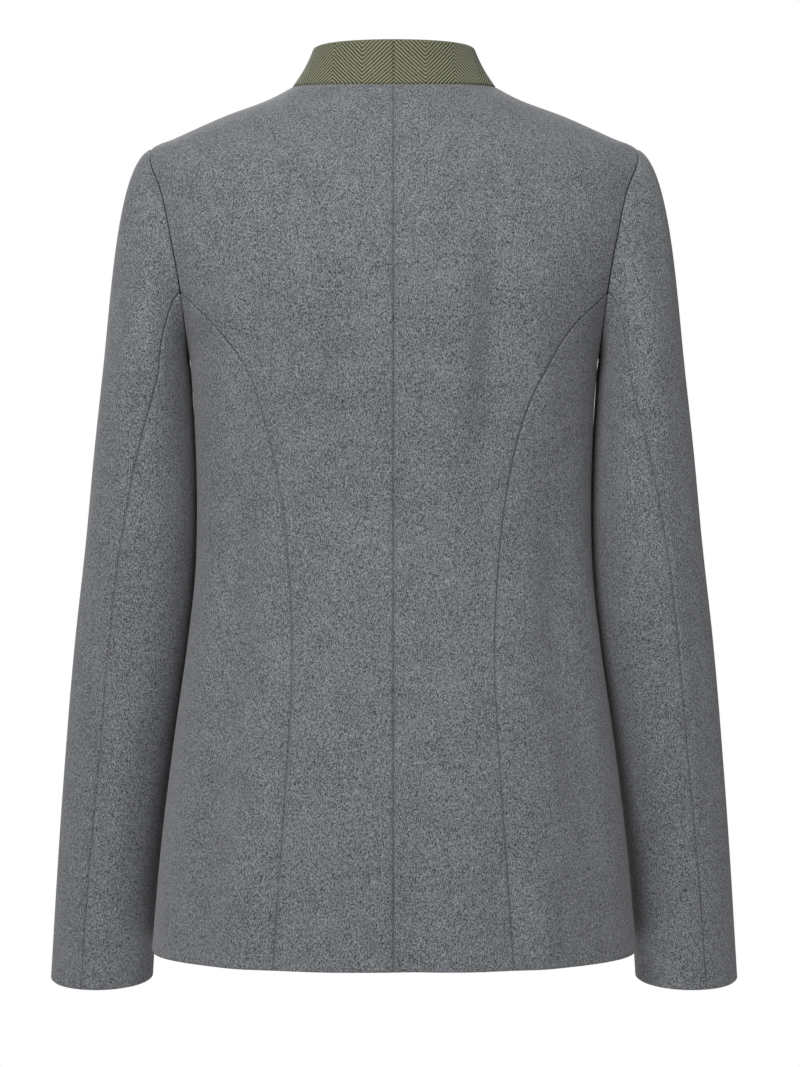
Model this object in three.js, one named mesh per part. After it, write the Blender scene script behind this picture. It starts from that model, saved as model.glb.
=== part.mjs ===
// A women's semi-fitted loden jacket: princess seams, two-piece set-in sleeves and a stand collar.
// Millimetres, +Z up. The front faces -Y, the back +Y, and the wearer's left is +X.
// The origin is the middle of the neck opening, level with the neck points.
import * as THREE from "three";

// Cloth
const clothWall = 2.5;
const collarWall = 3;
const seamGap = 0.3;

// Levels up the side of the jacket. Past the shoulder tip they go on along the shoulder seam.
const hemLevel = -645;
const underarmLevel = -200;
const tipLevel = -46;
const neckLevel = 68;

// Armhole: the depth of its oval behind and before the shoulder line
const armholeBehind = 55;
const armholeBefore = 57;
const princessShare = 0.28;
const armholeShares = [0.03, 0.1, 0.19, princessShare, 0.4, 0.54, 0.68, 0.81, 0.91, 0.975];

// Front closing: how far each front runs past the centre, and where the lower one steps in
const frontStand = 18;
const frontStep = 26;
const frontStepEnd = 52;

// Collar
const collarTopHalfWidth = 60;
const collarTopBack = 51;
const collarTopFront = 59;
const collarTopSide = 30;
const collarTopBackZ = 28.5;
const collarTopFrontZ = -34;
const collarHollow = 1.6;
const collarEnd = 3;
const collarCorner = 12;

// Sleeve
const capEndZ = -214;
const cuffZ = -674;
const capPull = 0.46;

// Buttons
const buttonRadius = 10;
const buttonThickness = 3.4;
const buttonBevel = 0.8;
const buttonTop = -84;
const buttonSpacing = 92;
const buttonCount = 5;
const threadHoleRadius = 1;
const threadHoleOffset = 2.1;

const grey = 0x74767b;
const olive = 0x67684f;
const horn = 0x6b5640;

// Rings round the body: half the width at the side, the depth and height at centre back and front.
const bodyRings = [
  { level: -645, side: -645, halfWidth: 181.0, backZ: -645, back: 124.0, frontZ: -645, front: 124.0, square: 2.3 },
  { level: -560, side: -560, halfWidth: 173.3, backZ: -560, back: 121.0, frontZ: -560, front: 121.0, square: 2.3 },
  { level: -480, side: -480, halfWidth: 163.4, backZ: -480, back: 110.0, frontZ: -480, front: 116.0, square: 2.3 },
  { level: -415, side: -415, halfWidth: 154.3, backZ: -415, back: 98.0, frontZ: -415, front: 111.5, square: 2.3 },
  { level: -365, side: -365, halfWidth: 148.8, backZ: -365, back: 90.0, frontZ: -365, front: 109.5, square: 2.3 },
  { level: -315, side: -315, halfWidth: 147.4, backZ: -315, back: 88.0, frontZ: -315, front: 111.0, square: 2.3 },
  { level: -265, side: -265, halfWidth: 148.5, backZ: -265, back: 93.0, frontZ: -265, front: 117.0, square: 2.35 },
  { level: -222, side: -222, halfWidth: 151.0, backZ: -222, back: 99.5, frontZ: -222, front: 120.0, square: 2.4 },
  { level: -200, side: -200, halfWidth: 153.3, backZ: -200, back: 102.0, frontZ: -203, front: 119.5, square: 2.4 },
  { level: -176, side: -176, halfWidth: 161.5, backZ: -178, back: 103.8, frontZ: -184, front: 116.5, square: 2.4 },
  { level: -152, side: -152, halfWidth: 171.5, backZ: -157, back: 105.0, frontZ: -165, front: 112.8, square: 2.35 },
  { level: -108, side: -108, halfWidth: 185.8, backZ: -121, back: 102.5, frontZ: -135, front: 104.5, square: 2.25 },
  { level: -76, side: -76, halfWidth: 189.5, backZ: -97, back: 98.5, frontZ: -117, front: 97.5, square: 2.1 },
  { level: -58, side: -56, halfWidth: 189.5, backZ: -84, back: 95.5, frontZ: -108, front: 94.0, square: 2.02 },
  { level: -46, side: -46, halfWidth: 181.0, backZ: -75, back: 93.0, frontZ: -102, front: 91.5, square: 2.0 },
  { level: -30, side: -39.5, halfWidth: 166.0, backZ: -64, back: 89.5, frontZ: -95, front: 88.5, square: 2.0 },
  { level: 11, side: -23, halfWidth: 129.0, backZ: -39, back: 79.0, frontZ: -83, front: 81.0, square: 2.0 },
  { level: 50, side: -9, halfWidth: 92.0, backZ: -16, back: 67.5, frontZ: -72, front: 71.5, square: 2.0 },
  { level: 68, side: -1, halfWidth: 77.0, backZ: -6, back: 61.0, frontZ: -66, front: 66.0, square: 2.0 },
];

// Princess seams: the distance from the centre line at each level, behind and in front.
const backSeam = [
  { level: -645, out: 86.0 },
  { level: -560, out: 80.2 },
  { level: -480, out: 75.2 },
  { level: -417, out: 73.2 },
  { level: -365, out: 75.6 },
  { level: -310, out: 81.6 },
  { level: -260, out: 92.0 },
  { level: -224, out: 104.6 },
  { level: -201, out: 117.5 },
  { level: -180, out: 133.0 },
];
const frontSeam = [
  { level: -645, out: 93.0 },
  { level: -540, out: 86.0 },
  { level: -440, out: 77.0 },
  { level: -365, out: 74.5 },
  { level: -300, out: 80.0 },
  { level: -240, out: 92.0 },
  { level: -201, out: 112.0 },
  { level: -180, out: 129.0 },
];

// Rings round the sleeve: the centre, half the width and depth, the tilt, and where its two seams run.
const sleeveRings = [
  { level: -214, x: 185.3, y: -4.0, halfWidth: 32.9, halfDepth: 62.0, tilt: 2.0, backSeam: 115, frontSeam: 242 },
  { level: -270, x: 187.0, y: -8.0, halfWidth: 37.8, halfDepth: 59.0, tilt: 3.0, backSeam: 90, frontSeam: 234 },
  { level: -340, x: 190.3, y: -13.0, halfWidth: 41.6, halfDepth: 55.0, tilt: 4.0, backSeam: 74, frontSeam: 224 },
  { level: -415, x: 197.7, y: -20.0, halfWidth: 42.9, halfDepth: 51.0, tilt: 5.0, backSeam: 71, frontSeam: 214 },
  { level: -500, x: 208.0, y: -29.5, halfWidth: 40.5, halfDepth: 48.0, tilt: 5.5, backSeam: 73, frontSeam: 206 },
  { level: -590, x: 217.6, y: -39.0, halfWidth: 38.7, halfDepth: 46.0, tilt: 5.0, backSeam: 73, frontSeam: 200 },
  { level: -674, x: 223.7, y: -47.0, halfWidth: 38.8, halfDepth: 45.0, tilt: 4.0, backSeam: 72, frontSeam: 197 },
];

// The bust that the front princess seams shape
const bust = { out: 84, level: -238, rise: 11, acrossReach: 40, upReach: 62 };

// A table read at any level, by cubics whose slope at a row is that of the parabola through its neighbours.
function smoothTable(rows) {
  const names = Object.keys(rows[0]).filter((name) => name !== "level");
  const step = rows.slice(1).map((row, i) => row.level - rows[i].level);
  const slopes = {};
  for (const name of names) {
    const rise = step.map((width, i) => (rows[i + 1][name] - rows[i][name]) / width);
    slopes[name] = rows.map((row, i) => {
      if (i === 0) return rise[0];
      if (i === rows.length - 1) return rise[i - 1];
      return (step[i] * rise[i - 1] + step[i - 1] * rise[i]) / (step[i - 1] + step[i]);
    });
  }
  return (level) => {
    let i = 0;
    while (i < rows.length - 2 && level > rows[i + 1].level) i += 1;
    const s = (level - rows[i].level) / step[i];
    const reading = {};
    for (const name of names) {
      const start = rows[i][name] * (1 + 2 * s) * (1 - s) ** 2;
      const end = rows[i + 1][name] * (3 - 2 * s) * s ** 2;
      const bend = slopes[name][i] * s * (1 - s) ** 2 - slopes[name][i + 1] * s ** 2 * (1 - s);
      reading[name] = start + end + step[i] * bend;
    }
    return reading;
  };
}

const bodyRing = smoothTable(bodyRings);
const backSeamOut = smoothTable(backSeam);
const frontSeamOut = smoothTable(frontSeam);
const sleeveRing = smoothTable([...sleeveRings].reverse());

// ------------------------------------------------------------------ body

// A point of the body: angle 0 is centre back, a quarter turn the wearer's left side, a half turn centre front.
// Each ring is a rounded rectangle in plan, and dips from the side towards its back and front heights.
function bodyPoint(angle, level) {
  const ring = bodyRing(level);
  const behind = Math.cos(angle) >= 0;
  const depth = behind ? ring.back : ring.front;
  const endZ = behind ? ring.backZ : ring.frontZ;
  const across = Math.abs(Math.sin(angle)) / ring.halfWidth;
  const through = Math.abs(Math.cos(angle)) / depth;
  const reach = (across ** ring.square + through ** ring.square) ** (-1 / ring.square);
  const x = reach * Math.sin(angle);
  const y = reach * Math.cos(angle);
  const dip = (Math.abs(y) / depth) ** ring.square;
  const z = ring.side + (endZ - ring.side) * dip;
  if (behind) return new THREE.Vector3(x, y, z);
  const bustAcross = (Math.abs(x) - bust.out) / bust.acrossReach;
  const bustUp = (z - bust.level) / bust.upReach;
  const rise = bust.rise * dip * Math.exp(-(bustAcross ** 2) - bustUp ** 2);
  return new THREE.Vector3(x, y - rise, z);
}

// The outward normal of a surface of two parameters, from small steps each way.
function normalOf(surface, u, v, du, dv) {
  const alongU = surface(u + du, v).sub(surface(u - du, v));
  const alongV = surface(u, v + dv).sub(surface(u, v - dv));
  return alongV.cross(alongU).normalize();
}

const bodyNormal = (angle, level) => normalOf(bodyPoint, angle, level, 0.002, 0.2);

// The angle at which a ring is this far out from the centre line, behind (+1) or in front (-1).
function angleAtOut(level, out, facing) {
  const ring = bodyRing(level);
  const depth = facing > 0 ? ring.back : ring.front;
  const share = Math.min(Math.abs(out) / ring.halfWidth, 1) ** ring.square;
  return Math.atan2(out, facing * depth * (1 - share) ** (1 / ring.square));
}

// The angle at which a ring is this far behind or before the shoulder line.
function angleAtDepth(level, depthOut, facing) {
  const ring = bodyRing(level);
  const depth = facing > 0 ? ring.back : ring.front;
  const out = ring.halfWidth * (1 - (depthOut / depth) ** ring.square) ** (1 / ring.square);
  return Math.atan2(out, facing * depthOut);
}

const shareLevel = (share) => underarmLevel + share * (tipLevel - underarmLevel);
const levelShare = (level) => (level - underarmLevel) / (tipLevel - underarmLevel);

// The armhole's edge on a ring: as deep as an oval is at that share of its height.
function armholeAngle(level, facing) {
  const share = THREE.MathUtils.clamp(levelShare(level), 0, 1);
  const half = facing > 0 ? armholeBehind : armholeBefore;
  return angleAtDepth(level, half * Math.sqrt(1 - (2 * share - 1) ** 2), facing);
}

// The princess seam's angle on a ring. Near the armhole it bends to meet the armhole's edge.
const princessLevel = shareLevel(princessShare);
const seamJoinLevel = -180;
function princessAngle(level, facing) {
  const table = facing > 0 ? backSeamOut : frontSeamOut;
  if (level <= seamJoinLevel) return angleAtOut(level, table(level).out, facing);
  const joinOut = bodyPoint(armholeAngle(princessLevel, facing), princessLevel).x;
  const lowOut = table(seamJoinLevel).out;
  const share = (level - seamJoinLevel) / (princessLevel - seamJoinLevel);
  return angleAtOut(level, lowOut + (joinOut - lowOut) * share, facing);
}

// ---------------------------------------------------------------- sleeve

// The armhole's edge as a loop: angle 0 is the shoulder tip, a quarter turn the back, a half turn the underarm.
function armholeSpot(turn) {
  const level = shareLevel((1 + Math.cos(turn)) / 2);
  const facing = Math.sin(turn) >= 0 ? 1 : -1;
  return { angle: armholeAngle(level, facing), level };
}

function armholePoint(turn) {
  const spot = armholeSpot(turn);
  return bodyPoint(spot.angle, spot.level);
}

// A point of the sleeve's tube: an oval ring, tilted so that its back edge is the lower.
function tubePoint(turn, level) {
  const ring = sleeveRing(level);
  const tilt = THREE.MathUtils.degToRad(ring.tilt);
  const back = ring.halfDepth * Math.sin(turn);
  return new THREE.Vector3(
    ring.x + ring.halfWidth * Math.cos(turn),
    ring.y + back * Math.cos(tilt),
    level - back * Math.sin(tilt),
  );
}

// How the sleeve leaves the armhole: outwards over the shoulder, and steeply down under the arm.
function capStart(turn) {
  const low = (1 - Math.cos(turn)) / 2;
  return new THREE.Vector3(1, 0.15 * Math.sin(turn), -(0.3 + 1.05 * low ** 3)).normalize();
}

// The sleeve from the armhole (way 0) by a cubic to its first ring (way 1), and down the tube to the cuff (way 2).
function sleevePoint(turn, way) {
  if (way > 1) return tubePoint(turn, capEndZ + (cuffZ - capEndZ) * (way - 1));
  const start = armholePoint(turn);
  const end = tubePoint(turn, capEndZ);
  const chord = end.distanceTo(start);
  const leave = capStart(turn).multiplyScalar(capPull * chord);
  const arrive = tubePoint(turn, capEndZ - 1).sub(end).normalize();
  arrive.multiplyScalar(Math.abs(end.z - start.z));
  const point = start.multiplyScalar((1 + 2 * way) * (1 - way) ** 2);
  point.addScaledVector(leave, way * (1 - way) ** 2);
  point.addScaledVector(end, (3 - 2 * way) * way ** 2);
  return point.addScaledVector(arrive, -(way ** 2) * (1 - way));
}

function sleeveNormal(turn, way) {
  const here = way > 1 ? Math.max(way, 1.001) : Math.min(Math.max(way, 0.004), 0.996);
  return normalOf(sleevePoint, turn, here, 0.002, 0.0008);
}

// One direction for the edges of body and sleeve where they meet, halfway between the two cloths.
function armholeNormal(turn) {
  const spot = armholeSpot(turn);
  return mitre(bodyNormal(spot.angle, spot.level), sleeveNormal(turn, 0));
}

function mitre(first, second) {
  const sum = first.clone().add(second);
  const stretch = Math.min(2 / sum.length(), 1.4);
  return sum.normalize().multiplyScalar(stretch);
}

// ---------------------------------------------------------------- collar

// A point of the collar: from the neck ring (up 0) inwards to the top ring (up 1), a little hollow between.
function collarPoint(angle, up) {
  const base = bodyPoint(angle, neckLevel);
  const behind = Math.cos(angle) >= 0;
  const depth = behind ? collarTopBack : collarTopFront;
  const endZ = behind ? collarTopBackZ : collarTopFrontZ;
  const across = Math.sin(angle) / collarTopHalfWidth;
  const through = Math.cos(angle) / depth;
  const reach = 1 / Math.hypot(across, through);
  const top = new THREE.Vector3(reach * Math.sin(angle), reach * Math.cos(angle), 0);
  top.z = collarTopSide + (endZ - collarTopSide) * (top.y / depth) ** 2;
  const hollow = collarHollow * Math.sin(Math.PI * up);
  const point = base.lerp(top, up);
  point.x -= hollow * Math.sin(angle);
  point.y -= hollow * Math.cos(angle);
  return point;
}

const collarNormal = (angle, up) => normalOf(collarPoint, angle, up, 0.002, 0.004);
const neckNormal = (angle) => mitre(bodyNormal(angle, neckLevel), collarNormal(angle, 0.01));

// ---------------------------------------------------------------- cloth walls

// The vertices round a grid's border, in order.
function borderOf(grid) {
  const last = grid.length - 1;
  const end = grid[0].length - 1;
  const border = [];
  for (let j = 0; j < end; j += 1) border.push([0, j]);
  for (let i = 0; i < last; i += 1) border.push([i, end]);
  for (let j = end; j > 0; j -= 1) border.push([last, j]);
  for (let i = last; i > 0; i -= 1) border.push([i, 0]);
  return border;
}

// Draws a grid's border in by half the seam gap, square to each edge.
function drawIn(grid, amount) {
  const border = borderOf(grid);
  const at = (k) => {
    const [i, j] = border[(k + border.length) % border.length];
    return grid[i][j];
  };
  const middle = grid[Math.floor(grid.length / 2)][Math.floor(grid[0].length / 2)].point;
  const moves = border.map((_, k) => {
    const here = at(k);
    const before = here.point.clone().sub(at(k - 1).point).cross(here.normal).normalize();
    const after = at(k + 1).point.clone().sub(here.point).cross(here.normal).normalize();
    const bisector = before.clone().add(after);
    return bisector.multiplyScalar(amount / Math.max(1 + before.dot(after), 0.3));
  });
  const towards = border.reduce((sum, _, k) => sum + moves[k].dot(middle.clone().sub(at(k).point)), 0);
  moves.forEach((move, k) => at(k).point.addScaledVector(move, Math.sign(towards)));
}

// A closed wall on a grid of points and normals: the outer face, the inner face and the edge between.
function wallGeometry(grid, wall) {
  drawIn(grid, seamGap / 2);
  const width = grid[0].length;
  const count = grid.length * width;
  const positions = [];
  for (const depth of [0, wall]) {
    for (const spot of grid.flat()) {
      const point = spot.point.clone().addScaledVector(spot.normal, -depth - (spot.sink ?? 0));
      positions.push(point.x, point.y, point.z);
    }
  }
  const index = [];
  for (let i = 0; i < grid.length - 1; i += 1) {
    for (let j = 0; j < width - 1; j += 1) {
      const a = i * width + j;
      const [b, c, d] = [a + 1, a + width + 1, a + width];
      index.push(a, b, c, a, c, d);
      index.push(a + count, c + count, b + count, a + count, d + count, c + count);
    }
  }
  const border = borderOf(grid).map(([i, j]) => i * width + j);
  border.forEach((a, k) => {
    const b = border[(k + 1) % border.length];
    index.push(a, a + count, b + count, a, b + count, b);
  });
  const corner = grid[0][0];
  const facing = grid[0][1].point.clone().sub(corner.point).cross(grid[1][0].point.clone().sub(corner.point));
  if (facing.dot(corner.normal) < 0) index.reverse();
  const geometry = new THREE.BufferGeometry();
  geometry.setAttribute("position", new THREE.Float32BufferAttribute(positions, 3));
  geometry.setIndex(index);
  geometry.computeVertexNormals();
  return geometry;
}

// The same grid for the wearer's right side.
function mirrored(grid) {
  const flip = new THREE.Vector3(-1, 1, 1);
  return grid.map((row) => row.map((spot) => ({
    ...spot,
    point: spot.point.clone().multiply(flip),
    normal: spot.normal.clone().multiply(flip),
  })));
}

const evenly = (from, to, steps) => Array.from({ length: steps + 1 }, (_, i) => from + ((to - from) * i) / steps);

// ---------------------------------------------------------------- body panels

const lowLevels = evenly(hemLevel, underarmLevel, 12);
const armholeLevels = armholeShares.map(shareLevel);
const princessRow = armholeShares.indexOf(princessShare) + 1;
const shoulderLevels = [tipLevel, -33, -12, 11, 40, neckLevel];
const panelLevels = [...lowLevels, ...armholeLevels, ...shoulderLevels];
const sideLevels = [...lowLevels, ...armholeLevels.slice(0, princessRow)];

const turnAt = (level, facing) => facing * Math.acos(THREE.MathUtils.clamp(2 * levelShare(level) - 1, -1, 1));

// The outer edge of a back or front at a level: princess seam, then armhole, then shoulder seam.
function outerEdge(level, facing) {
  if (level < princessLevel) return princessAngle(level, facing);
  return level < tipLevel ? armholeAngle(level, facing) : Math.PI / 2;
}

function bodySpot(angle, level, onArmhole, facing) {
  let normal = bodyNormal(angle, level);
  if (level === neckLevel && Math.abs(Math.PI - angle) > 0.04) normal = neckNormal(angle);
  if (onArmhole) normal = armholeNormal(turnAt(level, facing));
  return { point: bodyPoint(angle, level), normal };
}

function backGrid() {
  return panelLevels.map((level) => evenly(0, outerEdge(level, 1), 5).map((angle, j) => {
    const onArmhole = j === 5 && level >= princessLevel && level <= tipLevel;
    return bodySpot(angle, level, onArmhole, 1);
  }));
}

// A front runs past the centre by its stand, and the lower one steps in by a wall where the other covers it.
function frontGrid(covered) {
  return panelLevels.map((level) => {
    const edge = outerEdge(level, -1);
    const main = evenly(edge, angleAtOut(level, frontStep, -1), 4);
    const past = 2 * Math.PI - angleAtOut(level, frontStand, -1);
    const angles = [...main, angleAtOut(level, frontStand, -1), Math.PI, past];
    return angles.map((angle, j) => {
      const onArmhole = j === 0 && level >= princessLevel && level <= tipLevel;
      const spot = bodySpot(angle, level, onArmhole, -1);
      const under = 1 - THREE.MathUtils.smoothstep(spot.point.x, frontStep, frontStepEnd);
      return { ...spot, sink: covered ? under * (clothWall + seamGap) : 0 };
    });
  });
}

// A side panel from the princess seam to the side seam, then to the armhole, ending in a blunt point.
function sideGrid(facing) {
  const rows = sideLevels.map((level) => {
    const open = level >= underarmLevel;
    const outer = open ? armholeAngle(level, facing) : Math.PI / 2;
    return evenly(princessAngle(level, facing), outer, 3).map((angle, j) => (
      bodySpot(angle, level, open && j === 3, facing)
    ));
  });
  const point = rows[rows.length - 1][3];
  const below = rows[rows.length - 2];
  const blunt = 0.94;
  rows[rows.length - 1] = below.map((spot) => ({
    point: spot.point.clone().lerp(point.point, blunt),
    normal: spot.normal.clone().lerp(point.normal, blunt),
  }));
  return rows;
}

// ---------------------------------------------------------------- sleeve pieces

const backTurns = [...armholeShares].reverse().map((share) => Math.acos(2 * share - 1));
const princessTurn = Math.acos(2 * princessShare - 1);
const topTurns = backTurns.filter((turn) => turn <= princessTurn);
const lowTurns = backTurns.filter((turn) => turn >= princessTurn);
const upperTurns = [...[...topTurns].reverse(), 0, ...topTurns.map((turn) => -turn)];
const underTurns = [...lowTurns, Math.PI, ...[...lowTurns].reverse().map((turn) => 2 * Math.PI - turn)];
const sleeveWays = [0, 0.1, 0.25, 0.45, 0.7, ...evenly(1, 2, 11)];

// Where the sleeve's two seams run at a way down it, as turns round the tube.
function sleeveSeams(way) {
  const first = sleeveRing(capEndZ);
  const here = sleeveRing(capEndZ + (cuffZ - capEndZ) * Math.max(way - 1, 0));
  const tube = { back: THREE.MathUtils.degToRad(here.backSeam), front: THREE.MathUtils.degToRad(here.frontSeam) };
  if (way >= 1) return tube;
  return {
    back: THREE.MathUtils.lerp(princessTurn, THREE.MathUtils.degToRad(first.backSeam), way),
    front: THREE.MathUtils.lerp(2 * Math.PI - princessTurn, THREE.MathUtils.degToRad(first.frontSeam), way),
  };
}

function sleeveGrid(turns, upper) {
  const start = turns[0];
  const end = turns[turns.length - 1];
  return sleeveWays.map((way) => {
    const seams = sleeveSeams(way);
    const far = upper ? seams.front - 2 * Math.PI : seams.front;
    return turns.map((turn) => {
      const share = (turn - start) / (end - start);
      const here = seams.back + (far - seams.back) * share;
      if (way > 0) return { point: sleevePoint(here, way), normal: sleeveNormal(here, way) };
      return { point: armholePoint(turn), normal: armholeNormal(turn) };
    });
  });
}

// ---------------------------------------------------------------- collar halves

// The collar's columns stand over those of the neck edges below it, and its last one lies between two of them.
function collarGrid() {
  const backAngles = evenly(0, Math.PI / 2, 5);
  const step = angleAtOut(neckLevel, frontStep, -1);
  const frontAngles = evenly(Math.PI / 2, step, 4).slice(1);
  const stand = angleAtOut(neckLevel, frontStand, -1);
  const endShare = 1 - collarEnd / frontStand;
  const ups = [0, 0.35, 0.7, 1];
  return ups.map((up) => {
    const row = [...backAngles, ...frontAngles, stand].map((angle) => ({
      point: collarPoint(angle, up),
      normal: up === 0 ? neckNormal(angle) : collarNormal(angle, Math.min(up, 0.99)),
    }));
    const centre = { point: collarPoint(Math.PI, up), normal: collarNormal(Math.PI, Math.min(up, 0.99)) };
    const stop = row[row.length - 1];
    const end = {
      point: stop.point.clone().lerp(centre.point, endShare),
      normal: stop.normal.clone().lerp(up === 0 ? stop.normal : centre.normal, endShare).normalize(),
    };
    if (up === 1) end.point.z -= collarCorner * 0.55;
    return [...row, end];
  });
}

// ---------------------------------------------------------------- buttons

// A round sew-through button with four thread holes, its back to the cloth.
function buttonGeometry() {
  const outline = new THREE.Shape();
  outline.absarc(0, 0, buttonRadius - buttonBevel, 0, 2 * Math.PI);
  for (const x of [-threadHoleOffset, threadHoleOffset]) {
    for (const y of [-threadHoleOffset, threadHoleOffset]) {
      const hole = new THREE.Path();
      hole.absarc(x, y, threadHoleRadius, 0, 2 * Math.PI, true);
      outline.holes.push(hole);
    }
  }
  const geometry = new THREE.ExtrudeGeometry(outline, {
    depth: buttonThickness - 2 * buttonBevel,
    bevelThickness: buttonBevel,
    bevelSize: buttonBevel,
    bevelSegments: 1,
    curveSegments: 6,
  });
  return geometry.translate(0, 0, buttonBevel);
}

// The level at which centre front is at a height, by halving.
function levelAtFrontZ(height) {
  let [low, high] = [hemLevel, neckLevel];
  for (let step = 0; step < 40; step += 1) {
    const middle = (low + high) / 2;
    if (bodyPoint(Math.PI, middle).z < height) low = middle;
    else high = middle;
  }
  return low;
}

// ---------------------------------------------------------------- the jacket

const jacket = new THREE.Group();
const loden = (colour) => new THREE.MeshStandardMaterial({ color: colour, roughness: 0.92, metalness: 0 });

function addPiece(name, geometry, material) {
  const piece = new THREE.Mesh(geometry, material);
  piece.name = name;
  jacket.add(piece);
  return piece;
}

const pairs = [
  { name: "back", grid: backGrid, colour: grey, wall: clothWall },
  { name: "side_back", grid: () => sideGrid(1), colour: grey, wall: clothWall },
  { name: "side_front", grid: () => sideGrid(-1), colour: grey, wall: clothWall },
  { name: "upper_sleeve", grid: () => sleeveGrid(upperTurns, true), colour: grey, wall: clothWall },
  { name: "under_sleeve", grid: () => sleeveGrid(underTurns, false), colour: grey, wall: clothWall },
  { name: "collar", grid: collarGrid, colour: olive, wall: collarWall },
];
for (const pair of pairs) {
  addPiece(`${pair.name}_left`, wallGeometry(pair.grid(), pair.wall), loden(pair.colour));
  addPiece(`${pair.name}_right`, wallGeometry(mirrored(pair.grid()), pair.wall), loden(pair.colour));
}
addPiece("front_left", wallGeometry(frontGrid(true), clothWall), loden(grey));
addPiece("front_right", wallGeometry(mirrored(frontGrid(false)), clothWall), loden(grey));

const shape = buttonGeometry();
for (let count = 0; count < buttonCount; count += 1) {
  const level = levelAtFrontZ(buttonTop - count * buttonSpacing);
  const normal = bodyNormal(Math.PI, level);
  const material = new THREE.MeshStandardMaterial({ color: horn, roughness: 0.4, metalness: 0 });
  const button = addPiece(`button_${count + 1}`, shape, material);
  button.position.copy(bodyPoint(Math.PI, level).addScaledVector(normal, 2 * seamGap));
  button.quaternion.setFromUnitVectors(new THREE.Vector3(0, 0, 1), normal);
}

export default jacket;
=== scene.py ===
# %% [markdown]
# # A women's loden jacket, seen from behind
# The jacket is a hollow garment in the shape that it has when worn. Every piece is a cut panel of fulled
# wool. The imported frame gives the stiff pieces, and this script makes the cloth around the same formulas.
# A cloth simulation could drape it, but a tailored jacket is held by its cut, so worked-out surfaces with
# soft folds listed one by one come closer, and they give the same result each run.

# %% Load the frame
import math

import bpy
import numpy as np
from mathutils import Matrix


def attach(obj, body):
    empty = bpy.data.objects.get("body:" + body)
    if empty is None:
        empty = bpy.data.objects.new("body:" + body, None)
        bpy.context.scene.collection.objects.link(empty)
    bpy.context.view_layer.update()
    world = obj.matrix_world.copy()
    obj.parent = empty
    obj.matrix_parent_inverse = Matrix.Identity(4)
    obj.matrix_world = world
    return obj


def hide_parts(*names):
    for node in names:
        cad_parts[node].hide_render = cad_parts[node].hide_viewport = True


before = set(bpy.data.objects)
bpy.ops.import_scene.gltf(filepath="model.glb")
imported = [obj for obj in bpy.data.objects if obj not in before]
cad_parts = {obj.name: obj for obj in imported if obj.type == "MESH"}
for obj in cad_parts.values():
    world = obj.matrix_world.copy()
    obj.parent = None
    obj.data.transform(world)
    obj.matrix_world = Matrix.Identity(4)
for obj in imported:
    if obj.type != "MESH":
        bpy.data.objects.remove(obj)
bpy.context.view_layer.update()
MM = 0.001
print("frame:", len(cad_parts), "nodes")

# %% [markdown]
# ## The camera and the light
# The camera looks level at the middle of the back from a little over two metres, as a product picture
# does, so that the hem and the cuffs bow downwards. A soft key from above the camera, a weak fill and a pale
# surround give the even, slightly shaded look of cloth on a white ground. A third lamp lights the front.

# %% Camera, floor and light
CAMERA_DISTANCE = 2.2
CAMERA_HEIGHT = -0.334
CAMERA_ASIDE = -0.0045
PICTURE_HEIGHT = 0.80
FLOOR_HEIGHT = -1.30
SENSOR = 36.0


def make_camera():
    """A level camera behind the jacket whose picture is PICTURE_HEIGHT tall at the shoulder line."""
    data = bpy.data.cameras.new("camera")
    data.sensor_fit = "VERTICAL"
    data.sensor_height = SENSOR
    data.lens = SENSOR * CAMERA_DISTANCE / PICTURE_HEIGHT
    data.clip_end = 50
    camera = bpy.data.objects.new("camera", data)
    camera.location = (CAMERA_ASIDE, CAMERA_DISTANCE, CAMERA_HEIGHT)
    camera.rotation_euler = (math.pi / 2, 0, math.pi)
    bpy.context.collection.objects.link(camera)
    bpy.context.scene.camera = camera


def area_light(name, place, target, size, power):
    """A square lamp at a place, turned to face a target."""
    data = bpy.data.lights.new(name, "AREA")
    data.size = size
    data.energy = power
    lamp = bpy.data.objects.new(name, data)
    lamp.location = place
    way = np.subtract(target, place)
    tip = math.acos(-way[2] / np.linalg.norm(way))
    lamp.rotation_euler = (tip, 0, math.atan2(way[1], way[0]) - math.pi / 2)
    bpy.context.collection.objects.link(lamp)


make_camera()
MIDDLE = (0, 0, -0.33)
UPPER_BACK = (0, 0, -0.2)
area_light("key", (0.6, 1.9, 1.15), UPPER_BACK, 0.9, 50)
area_light("fill", (-0.7, 2.2, 0.6), MIDDLE, 1.0, 10)
area_light("front_key", (0.5, -2.5, 1.35), MIDDLE, 1.3, 62)

world = bpy.data.worlds.new("studio")
world.use_nodes = True
AMBIENT = 0.27


def light_surround(tree):
    """White to look at, and a weaker white to light by, so that form shows in the cloth's shade."""
    seen = tree.nodes["Background"]
    seen.inputs["Color"].default_value = (1, 1, 1, 1)
    lit = tree.nodes.new("ShaderNodeBackground")
    lit.inputs["Color"].default_value = (1, 1, 1, 1)
    lit.inputs["Strength"].default_value = AMBIENT
    pick = tree.nodes.new("ShaderNodeMixShader")
    tree.links.new(tree.nodes.new("ShaderNodeLightPath").outputs["Is Camera Ray"], pick.inputs[0])
    tree.links.new(lit.outputs[0], pick.inputs[1])
    tree.links.new(seen.outputs[0], pick.inputs[2])
    tree.links.new(pick.outputs[0], tree.nodes["World Output"].inputs["Surface"])


light_surround(world.node_tree)
bpy.context.scene.world = world
bpy.context.scene.view_settings.view_transform = "Standard"
print("lens", round(bpy.context.scene.camera.data.lens, 1), "mm, surround", AMBIENT)

# %% [markdown]
# ## Tables of the garment's sizes
# The same sizes drive the stiff frame: rings round the body and the sleeve, and where the seams run. They
# are in millimetres. Between rows a cubic takes the slope of the parabola through its neighbours.

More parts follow.
